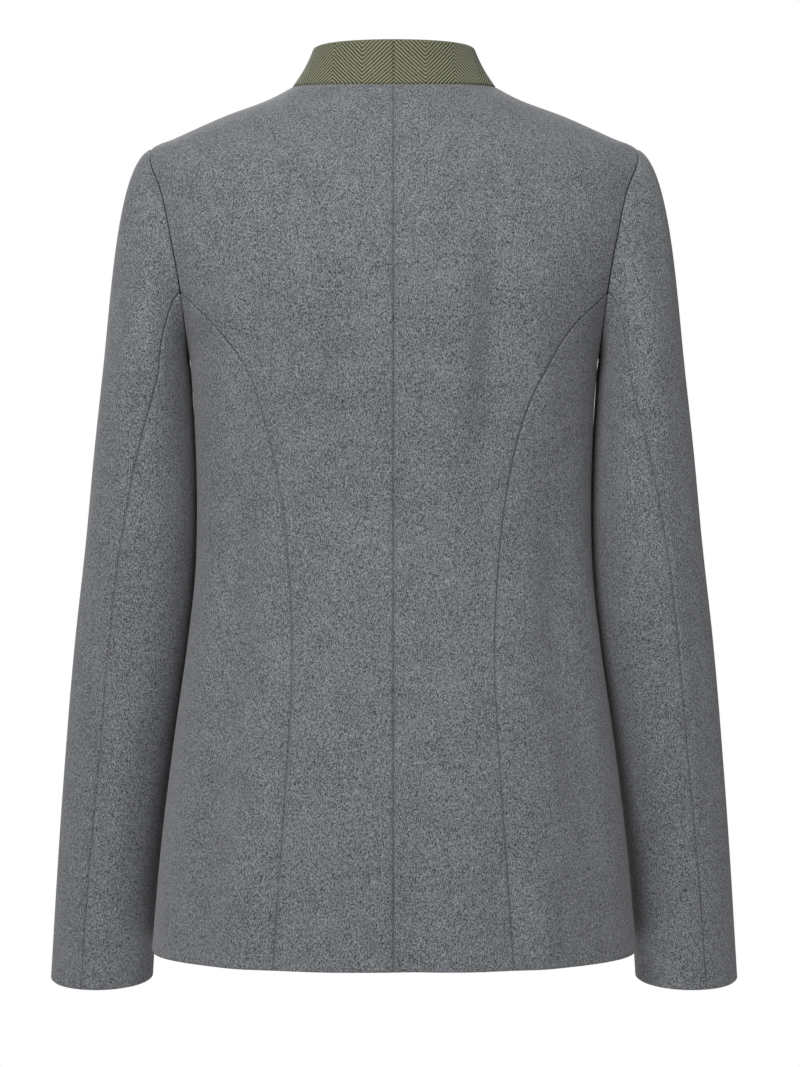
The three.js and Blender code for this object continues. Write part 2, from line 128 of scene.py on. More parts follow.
# %% Sizes
CLOTH_WALL = 2.5
COLLAR_WALL = 3.0
SEAM_GAP = 0.3
HEM, UNDERARM, TIP, NECK = -645, -200, -46, 68
ARMHOLE_BEHIND, ARMHOLE_BEFORE = 55, 57
PRINCESS_SHARE = 0.28
FRONT_STAND, FRONT_STEP, FRONT_STEP_END = 18, 26, 52
CAP_END, CUFF = -214, -674
TUBE_LENGTH = CAP_END - CUFF
CAP_PULL = 0.46

BODY_COLUMNS = "level side half_width back_z back front_z front square".split()
BODY_RINGS = np.array([
    [-645, -645.0, 181.0, -645, 124.0, -645, 124.0, 2.30],
    [-560, -560.0, 173.3, -560, 121.0, -560, 121.0, 2.30],
    [-480, -480.0, 163.4, -480, 110.0, -480, 116.0, 2.30],
    [-415, -415.0, 154.3, -415, 98.0, -415, 111.5, 2.30],
    [-365, -365.0, 148.8, -365, 90.0, -365, 109.5, 2.30],
    [-315, -315.0, 147.4, -315, 88.0, -315, 111.0, 2.30],
    [-265, -265.0, 148.5, -265, 93.0, -265, 117.0, 2.35],
    [-222, -222.0, 151.0, -222, 99.5, -222, 120.0, 2.40],
    [-200, -200.0, 153.3, -200, 102.0, -203, 119.5, 2.40],
    [-176, -176.0, 161.5, -178, 103.8, -184, 116.5, 2.40],
    [-152, -152.0, 171.5, -157, 105.0, -165, 112.8, 2.35],
    [-108, -108.0, 185.8, -121, 102.5, -135, 104.5, 2.25],
    [-76, -76.0, 189.5, -97, 98.5, -117, 97.5, 2.10],
    [-58, -56.0, 189.5, -84, 95.5, -108, 94.0, 2.02],
    [-46, -46.0, 181.0, -75, 93.0, -102, 91.5, 2.00],
    [-30, -39.5, 166.0, -64, 89.5, -95, 88.5, 2.00],
    [11, -23.0, 129.0, -39, 79.0, -83, 81.0, 2.00],
    [50, -9.0, 92.0, -16, 67.5, -72, 71.5, 2.00],
    [68, -1.0, 77.0, -6, 61.0, -66, 66.0, 2.00],
])
SEAM_COLUMNS = ["level", "out"]
BACK_SEAM = np.array([[-645, 86.0], [-560, 80.2], [-480, 75.2], [-417, 73.2], [-365, 75.6], [-310, 81.6],
                      [-260, 92.0], [-224, 104.6], [-201, 117.5], [-180, 133.0]])
FRONT_SEAM = np.array([[-645, 93.0], [-540, 86.0], [-440, 77.0], [-365, 74.5], [-300, 80.0], [-240, 92.0],
                       [-201, 112.0], [-180, 129.0]])
SLEEVE_COLUMNS = "level x y half_width half_depth tilt back_seam front_seam".split()
SLEEVE_RINGS = np.array([
    [-674, 223.7, -47.0, 38.8, 45.0, 4.0, 72, 197],
    [-590, 217.6, -39.0, 38.7, 46.0, 5.0, 73, 200],
    [-500, 208.0, -29.5, 40.5, 48.0, 5.5, 73, 206],
    [-415, 197.7, -20.0, 42.9, 51.0, 5.0, 71, 214],
    [-340, 190.3, -13.0, 41.6, 55.0, 4.0, 74, 224],
    [-270, 187.0, -8.0, 37.8, 59.0, 3.0, 90, 234],
    [-214, 185.3, -4.0, 32.9, 62.0, 2.0, 115, 242],
])
BUST_OUT, BUST_LEVEL, BUST_RISE, BUST_ACROSS, BUST_UP = 84, -238, 11, 40, 62


def smooth_table(rows, columns):
    """Reads a table at any levels: a cubic between two rows, with each row's slope that of its parabola."""
    level = rows[:, 0]
    step = np.diff(level)[:, None]
    rise = np.diff(rows, axis=0) / step
    middle = (step[1:] * rise[:-1] + step[:-1] * rise[1:]) / (step[1:] + step[:-1])
    slope = np.vstack([rise[:1], middle, rise[-1:]])

    def read(at):
        at = np.asarray(at, float)
        i = np.clip(np.searchsorted(level, at) - 1, 0, len(level) - 2)
        s = ((at - level[i]) / step[i, 0])[..., None]
        start = rows[i] * (1 + 2 * s) * (1 - s) ** 2 + rows[i + 1] * (3 - 2 * s) * s ** 2
        bend = slope[i] * s * (1 - s) ** 2 - slope[i + 1] * s ** 2 * (1 - s)
        values = start + step[i] * bend
        return {name: values[..., k] for k, name in enumerate(columns)}

    return read


body_ring = smooth_table(BODY_RINGS, BODY_COLUMNS)
back_seam_out = smooth_table(BACK_SEAM, SEAM_COLUMNS)
front_seam_out = smooth_table(FRONT_SEAM, SEAM_COLUMNS)
sleeve_ring = smooth_table(SLEEVE_RINGS, SLEEVE_COLUMNS)
print("waist half width:", float(body_ring(-330)["half_width"]), "mm")

# %% [markdown]
# ## The body's surface
# A ring is a rounded rectangle in plan, and it dips from the side towards centre back and centre front.
# The rings climb the side to the shoulder tip and then close in along the shoulder seam to the neck.

# %% Body surface
def body_point(angle, level):
    """Ring reach: (|sin|/width)^n + (|cos|/depth)^n to the power -1/n; the height dips with (y/depth)^n."""
    angle, level = np.broadcast_arrays(np.asarray(angle, float), np.asarray(level, float))
    ring = body_ring(level)
    behind = np.cos(angle) >= 0
    depth = np.where(behind, ring["back"], ring["front"])
    end_z = np.where(behind, ring["back_z"], ring["front_z"])
    n = ring["square"]
    across = np.abs(np.sin(angle)) / ring["half_width"]
    through = np.abs(np.cos(angle)) / depth
    reach = (across ** n + through ** n) ** (-1 / n)
    x = reach * np.sin(angle)
    y = reach * np.cos(angle)
    dip = (np.abs(y) / depth) ** n
    z = ring["side"] + (end_z - ring["side"]) * dip
    bust = np.exp(-((np.abs(x) - BUST_OUT) / BUST_ACROSS) ** 2 - ((z - BUST_LEVEL) / BUST_UP) ** 2)
    y = y - np.where(behind, 0, BUST_RISE * dip * bust)
    return np.stack([x, y, z], axis=-1)


def normal_of(surface, u, v, du, dv):
    """The outward normal: the cross product of small steps along the two parameters."""
    along_u = surface(u + du, v) - surface(u - du, v)
    along_v = surface(u, v + dv) - surface(u, v - dv)
    normal = np.cross(along_v, along_u)
    return normal / np.linalg.norm(normal, axis=-1, keepdims=True)


def angle_at_out(level, out, facing):
    """The angle where a ring is this far from the centre line, from the ring's own formula turned round."""
    ring = body_ring(level)
    depth = ring["back"] if facing > 0 else ring["front"]
    share = np.minimum(np.abs(out) / ring["half_width"], 1) ** ring["square"]
    return np.arctan2(out, facing * depth * (1 - share) ** (1 / ring["square"]))


def armhole_angle(level, facing):
    """The armhole's edge on a ring: as deep as an oval is at that share of its height."""
    ring = body_ring(level)
    share = np.clip((level - UNDERARM) / (TIP - UNDERARM), 0, 1)
    deep = (ARMHOLE_BEHIND if facing > 0 else ARMHOLE_BEFORE) * np.sqrt(1 - (2 * share - 1) ** 2)
    depth = ring["back"] if facing > 0 else ring["front"]
    out = ring["half_width"] * (1 - (deep / depth) ** ring["square"]) ** (1 / ring["square"])
    return np.arctan2(out, facing * deep)


PRINCESS_LEVEL = UNDERARM + PRINCESS_SHARE * (TIP - UNDERARM)
SEAM_JOIN = -180  # the level of the seam tables' last row


def princess_angle(level, facing):
    """The princess seam on a ring, read from its table and led to the armhole's edge above it."""
    level = np.asarray(level, float)
    table = back_seam_out if facing > 0 else front_seam_out
    join = body_point(armhole_angle(PRINCESS_LEVEL, facing), PRINCESS_LEVEL)[..., 0]
    low = table(SEAM_JOIN)["out"]
    share = np.clip((level - SEAM_JOIN) / (PRINCESS_LEVEL - SEAM_JOIN), 0, 1)
    out = np.where(level <= SEAM_JOIN, table(np.minimum(level, SEAM_JOIN))["out"], low + (join - low) * share)
    return angle_at_out(level, out, facing)


print("underarm:", body_point(math.pi / 2, UNDERARM).round(1))

# %% [markdown]
# ## The sleeve's surface
# The sleeve leaves the armhole outwards, turns down over a smooth cap and becomes an oval tube that leans
# forward. A cubic joins the armhole's edge to the first ring of the tube.

# %% Sleeve surface
def armhole_point(turn):
    """The armhole's edge as a loop: 0 at the shoulder tip, a quarter turn at the back, a half turn underarm."""
    level = UNDERARM + (1 + np.cos(turn)) / 2 * (TIP - UNDERARM)
    angle = np.where(np.sin(turn) >= 0, armhole_angle(level, 1), armhole_angle(level, -1))
    return body_point(angle, level)


def tube_point(turn, level):
    """An oval ring: centre plus half width times cosine and half depth times sine, tilted forward."""
    ring = sleeve_ring(level)
    tilt = np.radians(ring["tilt"])
    back = ring["half_depth"] * np.sin(turn)
    x = ring["x"] + ring["half_width"] * np.cos(turn)
    return np.stack([x, ring["y"] + back * np.cos(tilt), level - back * np.sin(tilt)], axis=-1)


def sleeve_point(turn, way):
    """A cubic from the armhole (way 0) to the first ring (way 1), then down the tube to the cuff (way 2)."""
    turn, way = np.broadcast_arrays(np.asarray(turn, float), np.asarray(way, float))
    start = armhole_point(turn)
    cap_end = np.full_like(turn, CAP_END)
    end = tube_point(turn, cap_end)
    chord = np.linalg.norm(end - start, axis=-1, keepdims=True)
    low = (1 - np.cos(turn)) / 2
    leave = np.stack([np.ones_like(turn), 0.15 * np.sin(turn), -(0.3 + 1.05 * low ** 3)], axis=-1)
    leave *= CAP_PULL * chord / np.linalg.norm(leave, axis=-1, keepdims=True)
    arrive = tube_point(turn, cap_end - 1) - end
    arrive *= np.abs(end - start)[..., 2:] / np.linalg.norm(arrive, axis=-1, keepdims=True)
    s = np.clip(way, 0, 1)[..., None]
    cap = start * (1 + 2 * s) * (1 - s) ** 2 + leave * s * (1 - s) ** 2
    cap = cap + end * (3 - 2 * s) * s ** 2 - arrive * s ** 2 * (1 - s)
    tube = tube_point(turn, CAP_END + (CUFF - CAP_END) * np.maximum(way - 1, 0))
    return np.where((way > 1)[..., None], tube, cap)


print("cuff, outer edge:", sleeve_point(0.0, 2.0).round(1))

# %% [markdown]
# ## Folds
# Fulled wool hangs in long soft folds. Each row below is one: where it is, how far it reaches across and
# up, and how deep it is. Negative depths are troughs. Back rows are at +1 and front rows at -1.

# %% Folds
FOLD_COLUMNS = "x z across up depth facing lean".split()
FOLDS = np.array([
    [66, -170, 13, 90, 1.9, 1, 0.02],
    [34, -225, 14, 90, -2.2, 1, -0.02],
    [-72, -190, 12, 80, -2.3, 1, 0.03],
    [-46, -200, 14, 100, 1.5, 1, 0.00],
    [104, -190, 14, 60, -1.5, 1, 0.10],
    [-108, -215, 14, 70, 1.5, 1, -0.10],
    [118, -370, 16, 80, -2.0, 1, 0.05],
    [-120, -350, 15, 80, -2.2, 1, -0.05],
    [132, -520, 17, 110, -2.6, 1, 0.14],
    [-136, -500, 18, 110, -2.6, 1, -0.14],
    [-12, -590, 15, 80, -2.2, 1, -0.02],
    [46, -560, 18, 110, 1.6, 1, 0.03],
    [-52, -550, 18, 120, 1.8, 1, -0.03],
    [108, -600, 14, 80, 2.0, 1, 0.08],
    [-104, -610, 15, 80, 2.0, 1, -0.08],
    [60, -150, 18, 60, 1.4, -1, 0.05],
    [-64, -150, 18, 60, 1.2, -1, -0.05],
    [46, -330, 14, 90, -1.8, -1, 0.02],
    [-50, -345, 14, 90, -1.7, -1, -0.02],
    [122, -400, 16, 100, -2.2, -1, 0.06],
    [-118, -420, 16, 100, -2.1, -1, -0.06],
    [60, -560, 18, 110, 1.8, -1, 0.03],
    [-64, -570, 18, 110, 1.7, -1, -0.03],
])
FOLD_STRENGTH = 2.4
FOLD_SIDE = 40  # how far behind or before the side seam a fold reaches its full depth


def fold_lift(points):
    """The sum of the folds at each point: depth times a bell across and a bell up, kept to its own side."""
    lift = np.zeros(points.shape[:-1])
    depth = np.clip(points[..., 1] / FOLD_SIDE, -1, 1)
    for fold in FOLDS:
        f = dict(zip(FOLD_COLUMNS, fold))
        centre = f["x"] + f["lean"] * (f["z"] - points[..., 2])
        beside = (points[..., 0] - centre) / f["across"]
        above = (points[..., 2] - f["z"]) / f["up"]
        bell = np.exp(-beside ** 2 - above ** 2)
        side = np.clip(depth * f["facing"], 0, 1)
        lift += FOLD_STRENGTH * f["depth"] * bell * side
    return lift


print(len(FOLDS), "folds")

# %% [markdown]
# ## From a grid to a piece of cloth
# A piece's edge is rolled under where it is sewn, which is what makes a seam show as a fine groove. The
# columns and rows of each grid crowd together at the edges so that the roll is round.

# %% Grid helpers
ROLL_DEPTH = 1.7
ROLL_REACH = 0.9
EDGE_STEPS = np.array([0, 0.3, 0.6, 1.0, 1.6, 2.6])
SLEEVE_AXIS = 200
SLEEVE_FROM = 150


def shares_across(width, inner):
    """Shares from 0 to 1 for a row of this width: close together near both ends and even between."""
    width = np.asarray(width, float)[..., None]
    edge = EDGE_STEPS / np.maximum(width, 4 * EDGE_STEPS[-1])
    between = np.linspace(0, 1, inner + 1)[1:-1] * (1 - 2 * edge[..., -1:]) + edge[..., -1:]
    return np.concatenate([edge, between, 1 - edge[..., ::-1]], axis=-1)


def roll(distance):
    """How far a sewn edge sinks: its depth times a bell of the distance from the edge."""
    return ROLL_DEPTH * np.exp(-(distance / ROLL_REACH) ** 2)


def run_length(points, axis):
    """The length along a grid's lines from their first point."""
    step = np.linalg.norm(np.diff(points, axis=axis), axis=-1)
    start = np.zeros_like(np.take(step, [0], axis=axis))
    return np.cumsum(np.concatenate([start, step], axis=axis), axis=axis)


def edge_roll(points, start=1.0, end=1.0, low=1.0, high=1.0):
    """The sink at each point from the four edges of its grid, each edge with its own share of the roll."""
    across, along = run_length(points, 1), run_length(points, 0)
    start, end = np.reshape(start, (-1, 1)), np.reshape(end, (-1, 1))
    sides = np.maximum(roll(across) * start, roll(across[:, -1:] - across) * end)
    return np.maximum(sides, np.maximum(roll(along) * low, roll(along[-1:] - along) * high))


def cloth_object(name, points, wall, material, mirror=False):
    """A grid of points in millimetres as a mesh with a Solidify wall on its inner side and a length UV."""
    rows, columns = points.shape[:2]
    if mirror:
        points = points * [-1, 1, 1]
    i = np.arange(rows * columns).reshape(rows, columns)
    quads = np.stack([i[:-1, :-1], i[:-1, 1:], i[1:, 1:], i[1:, :-1]], axis=-1).reshape(-1, 4)
    middle = (rows // 2, columns // 2)
    a, b, c = points[middle], points[middle[0], middle[1] + 1], points[middle[0] + 1, middle[1]]
    if np.dot(np.cross(b - a, c - a), outward_at(a)) < 0:
        quads = quads[:, ::-1]
    mesh = bpy.data.meshes.new(name)
    mesh.from_pydata((points * MM).reshape(-1, 3), [], quads.tolist())
    across, along = run_length(points, 1), run_length(points, 0)
    uv = np.stack([across, along], axis=-1).reshape(-1, 2) * MM
    layer = mesh.uv_layers.new(name="cloth")
    layer.data.foreach_set("uv", uv[quads.reshape(-1)].reshape(-1))
    mesh.polygons.foreach_set("use_smooth", np.ones(len(quads), bool))
    mesh.materials.append(material)
    piece = bpy.data.objects.new(name, mesh)
    bpy.context.collection.objects.link(piece)
    solid = piece.modifiers.new("wall", "SOLIDIFY")
    solid.thickness = wall * MM
    solid.offset = -1
    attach(piece, "root")
    return piece


def outward_at(here):
    """Away from the axis of the tube that a point is on, which is a sleeve's or the body's."""
    axis = SLEEVE_AXIS if abs(here[0]) > SLEEVE_FROM else 0
    centre = np.array([np.sign(here[0]) * axis, 0, here[2]])
    return here - centre


def cut_area(points):
    """The area of a grid in square metres."""
    u = points[1:, :-1] - points[:-1, :-1]
    v = points[:-1, 1:] - points[:-1, :-1]
    return float(np.linalg.norm(np.cross(u, v), axis=-1).sum()) * MM * MM


print("edge rows at", EDGE_STEPS, "mm")

# %% [markdown]
# ## Shader maths as expressions
# A small class wraps a socket, so that grain and colour can be written as sums and products.

# %% Expression class
class Value:
    """A shader number that adds a Math node for each operation."""

    def __init__(self, tree, socket):
        self.tree, self.socket = tree, socket

    def math(self, operation, *others):
        """A Math node with these inputs."""
        node = self.tree.nodes.new("ShaderNodeMath")
        node.operation = operation
        for slot, item in zip(node.inputs, others):
            plug(self.tree, item, slot)
        return Value(self.tree, node.outputs[0])

    def __add__(self, other):
        return self.math("ADD", self, other)

    def __sub__(self, other):
        return self.math("SUBTRACT", self, other)

    def __rsub__(self, other):
        return self.math("SUBTRACT", other, self)

    def __mul__(self, other):
        return self.math("MULTIPLY", self, other)

    __radd__ = __add__
    __rmul__ = __mul__


def plug(tree, item, socket):
    """Links a value to a socket, or sets the socket to a constant."""
    if isinstance(item, Value):
        tree.links.new(item.socket, socket)
    else:
        socket.default_value = item


class Material:
    """A material's node tree with one method that adds any node."""

    def __init__(self, name):
        self.material = bpy.data.materials.new(name)
        self.material.use_nodes = True
        self.tree = self.material.node_tree
        self.shader = self.tree.nodes["Principled BSDF"]

    def node(self, kind, settings=None, inputs=None, output=0):
        """Any node: its settings first, then its inputs; gives one of its outputs."""
        node = self.tree.nodes.new(kind)
        for key, item in (settings or {}).items():
            setattr(node, key, item)
        for key, item in (inputs or {}).items():
            plug(self.tree, item, node.inputs[key])
        return Value(self.tree, node.outputs[output])

    def mix(self, share, first, second):
        """A colour between two: Factor, A and B are the Mix node's colour sockets."""
        node = self.tree.nodes.new("ShaderNodeMix")
        node.data_type = "RGBA"
        for slot, item in zip((0, 6, 7), (share, first, second)):
            plug(self.tree, item, node.inputs[slot])
        return Value(self.tree, node.outputs[2])

    def ramp(self, value, low, high):
        """0 below low, 1 above high and even between."""
        return self.node("ShaderNodeMapRange", {"clamp": True},
                         {"Value": value, "From Min": low, "From Max": high})

    def noise(self, where, scale, detail=2.0, rough=0.5):
        """Noise at this scale, around one half."""
        inputs = {"Vector": where, "Scale": scale, "Detail": detail, "Roughness": rough}
        return self.node("ShaderNodeTexNoise", {}, inputs)

    def finish(self, colour, rough, height, distance, sheen):
        """Links colour and roughness, adds a bump of this height, and sets the constant sheen."""
        bump = self.node("ShaderNodeBump", {}, {"Height": height, "Distance": distance, "Strength": 1.0})
        for key, item in {"Base Color": colour, "Roughness": rough, "Normal": bump}.items():
            plug(self.tree, item, self.shader.inputs[key])
        self.shader.inputs["Sheen Weight"].default_value = sheen
        self.shader.inputs["Sheen Roughness"].default_value = 0.5
        self.shader.inputs["Specular IOR Level"].default_value = 0.2
        return self.material


def grey(level, tint):
    """A level of grey times a tint, as a colour."""
    return (level * tint[0], level * tint[1], level * tint[2], 1)


UV_OUTPUT, OBJECT_OUTPUT = 2, 3
print("shader classes ready")


# %% [markdown]
# ## Loden
# Loden is wool that has been fulled until its weave closes to a felt. Dark and pale fibres lie mixed in
# it, so the colour is a fine melange of flecks over soft clouds, a little blue.

# %% Loden material
def make_loden():
    """Dark and pale grey by a sum of two fine noises and a slow one; the fine ones are also the bump."""
    m = Material("loden")
    where = m.node("ShaderNodeTexCoord", output=OBJECT_OUTPUT)
    upright = m.node("ShaderNodeMapping", {}, {"Vector": where, "Scale": (1, 1, 0.6)})
    fleck = m.noise(upright, 1250, 2, 0.7)
    hair = m.noise(where, 2600, 2, 0.6)
    cloud = m.noise(where, 40, 3, 0.6)
    tint = m.noise(where, 420, 2, 0.5)
    mixed = fleck * 0.7 + hair * 0.3 + (cloud - 0.5) * 0.06
    share = m.ramp(mixed, 0.40, 0.62)
    warmth = m.ramp(tint, 0.4, 0.6)
    dark = m.mix(warmth, grey(0.022, (0.90, 0.97, 1.16)), grey(0.026, (0.96, 1.0, 1.06)))
    pale = m.mix(warmth, grey(0.300, (0.94, 0.99, 1.08)), grey(0.290, (0.97, 1.0, 1.03)))
    colour = m.mix(share, dark, pale)
    height = fleck * 0.6 + hair * 0.4
    return m.finish(colour, 0.85 + share * 0.1, height, 0.0006, 0.18)


# %% [markdown]
# ## Herringbone twill
# The stand collar is an olive wool twill. Its diagonals turn over in columns, which makes a herringbone.
# The pattern reads the piece's own UV, whose units are metres along the neck and up the collar.

# %% Collar material
COLUMN_WIDTH = 0.024
TWILL_PITCH = 0.0032


def make_twill():
    """Sine lines across a zigzag: the column's back-and-forth run plus the height, over the pitch."""
    m = Material("collar_twill")
    where = m.node("ShaderNodeTexCoord", output=UV_OUTPUT)
    part = m.tree.nodes.new("ShaderNodeSeparateXYZ")
    plug(m.tree, where, part.inputs[0])
    across, up = Value(m.tree, part.outputs[0]), Value(m.tree, part.outputs[1])
    column = across.math("PINGPONG", across, COLUMN_WIDTH)
    wobble = m.noise(where, 260, 2, 0.5)
    wave = (column + up + (wobble - 0.5) * 0.0012) * (2 * math.pi / TWILL_PITCH)
    line = wave.math("SINE", wave) * 0.5 + 0.5
    fleck = m.noise(m.node("ShaderNodeTexCoord", output=OBJECT_OUTPUT), 900, 3, 0.7)
    share = m.ramp(line * 0.7 + fleck * 0.7, 0.40, 1.0)
    colour = m.mix(share, (0.028, 0.030, 0.016, 1), (0.23, 0.232, 0.15, 1))
    return m.finish(colour, 0.88 + share * 0.08, line * 0.7 + fleck * 0.5, 0.0005, 0.12)


# %% [markdown]
# ## Horn
# The buttons are cut from horn: brown, streaked along the grain, and polished.

# %% Horn material
def make_horn():
    """Brown streaks from a noise drawn out upwards, smoother than the cloth."""
    m = Material("horn")
    where = m.node("ShaderNodeTexCoord", output=OBJECT_OUTPUT)
    grain = m.node("ShaderNodeMapping", {}, {"Vector": where, "Scale": (1, 1, 0.25)})
    streak = m.noise(grain, 420, 4, 0.6)
    colour = m.mix(m.ramp(streak, 0.35, 0.68), (0.035, 0.018, 0.008, 1), (0.27, 0.16, 0.08, 1))
    finished = m.finish(colour, 0.28 + streak * 0.2, streak, 0.0001, 0.0)
    m.shader.inputs["Specular IOR Level"].default_value = 0.5
    return finished


loden = make_loden()
twill = make_twill()
horn = make_horn()
print("materials:", loden.name, twill.name, horn.name)

# %% [markdown]
# ## The body's panels
# Every panel lies between two seams on the body's surface. The folds lift it along its normal, and its
# edges roll under. Neighbours share their seam's points, so they meet with only the seam's groove between.

# %% Body panels
BODY_ROWS = 150
UNDERARM_ROWS = 60
BACK_INNER, SIDE_INNER, FRONT_INNER = 34, 22, 40
SOFT_SEAM = 0.4
SIDE_SEAM = 0.12
LAP_SINK = 0.4
ANGLE_STEP, LEVEL_STEP = 0.002, 0.2
ROUGH_SHARES = np.linspace(0, 1, 9)[:, None]


def level_rows(top):
    """Levels from the hem to a top: close together at the hem, the underarm and the top."""
    edge = EDGE_STEPS
    span = np.linspace(HEM + edge[-1], top - edge[-1], int(BODY_ROWS * (top - HEM) / (NECK - HEM)))
    fine = UNDERARM + (TIP - UNDERARM) * (1 - np.cos(np.linspace(0, math.pi, UNDERARM_ROWS))) / 2
    levels = np.concatenate([HEM + edge, span, fine[fine < top - edge[-1]], top - edge[::-1]])
    return np.unique(levels.round(3))


def lifted(points, normal, sink, edges):
    """Moves a grid along its normals by the folds, less the rolled edges and any sink."""
    move = fold_lift(points) - edge_roll(points, **edges) - sink
    return points + normal * move[..., None]


def panel(levels, start, end, inner):
    """A grid on the body between two edges given as angles at each level, and its normals."""
    rough = body_point(start + (end - start) * ROUGH_SHARES, levels)
    width = np.linalg.norm(np.diff(rough, axis=0), axis=-1).sum(axis=0)
    share = shares_across(width, inner)
    angle = start[:, None] + (end - start)[:, None] * share
    level = np.broadcast_to(levels[:, None], angle.shape)
    return body_point(angle, level), normal_of(body_point, angle, level, ANGLE_STEP, LEVEL_STEP)


def outer_edge(levels, facing):
    """A back or front's outer edge: the princess seam, then the armhole, then the shoulder seam."""
    low = princess_angle(np.minimum(levels, PRINCESS_LEVEL), facing)
    arm = armhole_angle(np.clip(levels, UNDERARM, TIP), facing)
    return np.where(levels < PRINCESS_LEVEL, low, np.where(levels < TIP, arm, math.pi / 2))


def add_panel(node, grid, wall, material, mirror=False):
    """Makes one piece of cloth, which stands for its node, hides the node and prints the size of its cut."""
    piece = cloth_object(node + "_cloth", grid, wall, material, mirror)
    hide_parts(node)
    across = run_length(grid, 1)[:, -1].max() * MM
    along = run_length(grid, 0)[-1].max() * MM
    area = min(cut_area(grid), across * along)
    print(node, "cut", round(across * 1000), "by", round(along * 1000), "mm,", round(area * 1e4), "cm2")


def add_pair(name, left, right, wall=CLOTH_WALL, material=loden):
    """A left and a right piece; the right grid is given mirrored."""
    add_panel(name + "_left", left, wall, material)
    add_panel(name + "_right", right, wall, material, mirror=True)


def both_sides(build):
    """A panel for each side, with its own side's folds. Only the left front is sunk: the right laps over it."""
    points, normal, sink, edges = build()
    left = lifted(points, normal, sink, edges)
    flip = np.array([-1, 1, 1])
    right = lifted(points * flip, normal * flip, 0.0, edges) * flip
    return left, right


def armhole_soft(levels):
    """The roll of an edge that is a princess seam below and an armhole above, where it is softer."""
    return np.where(levels > PRINCESS_LEVEL, SOFT_SEAM, 1.0)


def back_panel():
    """From centre back to the princess seam, the armhole and the shoulder seam."""
    levels = level_rows(NECK)
    points, normal = panel(levels, np.zeros_like(levels), outer_edge(levels, 1), BACK_INNER)
    return points, normal, 0.0, {"end": armhole_soft(levels), "high": SOFT_SEAM, "low": SOFT_SEAM}


def side_panel(facing):
    """From the princess seam to the side seam; it ends just under the princess seam's top."""
    levels = level_rows(PRINCESS_LEVEL - 1.0)
    arm = armhole_angle(np.clip(levels, UNDERARM, TIP), facing)
    outer = np.where(levels < UNDERARM, math.pi / 2, arm)
    points, normal = panel(levels, princess_angle(levels, facing), outer, SIDE_INNER)
    return points, normal, 0.0, {"end": SIDE_SEAM, "high": 0.0, "low": SOFT_SEAM}


def front_panel():
    """From the princess seam, the armhole and the shoulder to the front edge, with the lap's step."""
    levels = level_rows(NECK)
    end = 2 * math.pi - angle_at_out(levels, FRONT_STAND, -1)
    points, normal = panel(levels, outer_edge(levels, -1), end, FRONT_INNER)
    s = np.clip((FRONT_STEP_END - points[..., 0]) / (FRONT_STEP_END - FRONT_STEP), 0, 1)
    sink = (CLOTH_WALL + SEAM_GAP + LAP_SINK) * s * s * (3 - 2 * s)
    return points, normal, sink, {"start": armhole_soft(levels), "high": SOFT_SEAM, "low": SOFT_SEAM}


for name, build in (("back", back_panel), ("side_back", lambda: side_panel(1)),
                    ("side_front", lambda: side_panel(-1)), ("front", front_panel)):
    left, right = both_sides(build)
    add_pair(name, left, right)

# %% [markdown]
# ## The sleeves
# A tailored sleeve has an upper and an under piece. The back seam starts where the back princess seam
# meets the armhole and runs to the cuff. The front seam lies on the inner side, towards the body.

# %% Sleeves
SLEEVE_FOLD_COLUMNS = "turn way across reach depth".split()
SLEEVE_FOLDS = np.array([
    [60, 0.55, 16, 0.30, -1.3],
    [35, 1.10, 15, 0.22, 1.4],
    [95, 1.25, 15, 0.20, -1.6],
    [50, 1.45, 14, 0.22, -1.5],
    [20, 1.60, 15, 0.25, 1.3],
    [300, 1.35, 20, 0.20, -1.8],
    [330, 1.20, 16, 0.16, 1.5],
    [270, 1.50, 18, 0.15, -1.6],
    [100, 1.75, 16, 0.20, 1.3],
])
PRINCESS_TURN = math.acos(2 * PRINCESS_SHARE - 1)
UPPER_INNER, UNDER_INNER = 50, 30
SLEEVE_MIDDLE = 195
CAP_EDGE = [0, 0.004, 0.01, 0.02, 0.035]
CALM_RISE = 6


def sleeve_lift(turn, way):
    """The sleeve's folds: depth times a bell round the tube and a bell along it."""
    lift = np.zeros_like(turn)
    for fold in SLEEVE_FOLDS:
        f = dict(zip(SLEEVE_FOLD_COLUMNS, fold))
        round_it = (np.degrees(turn) - f["turn"] + 180) % 360 - 180
        along_it = (way - f["way"]) / f["reach"]
        lift += f["depth"] * np.exp(-(round_it / f["across"]) ** 2 - along_it ** 2)
    return lift


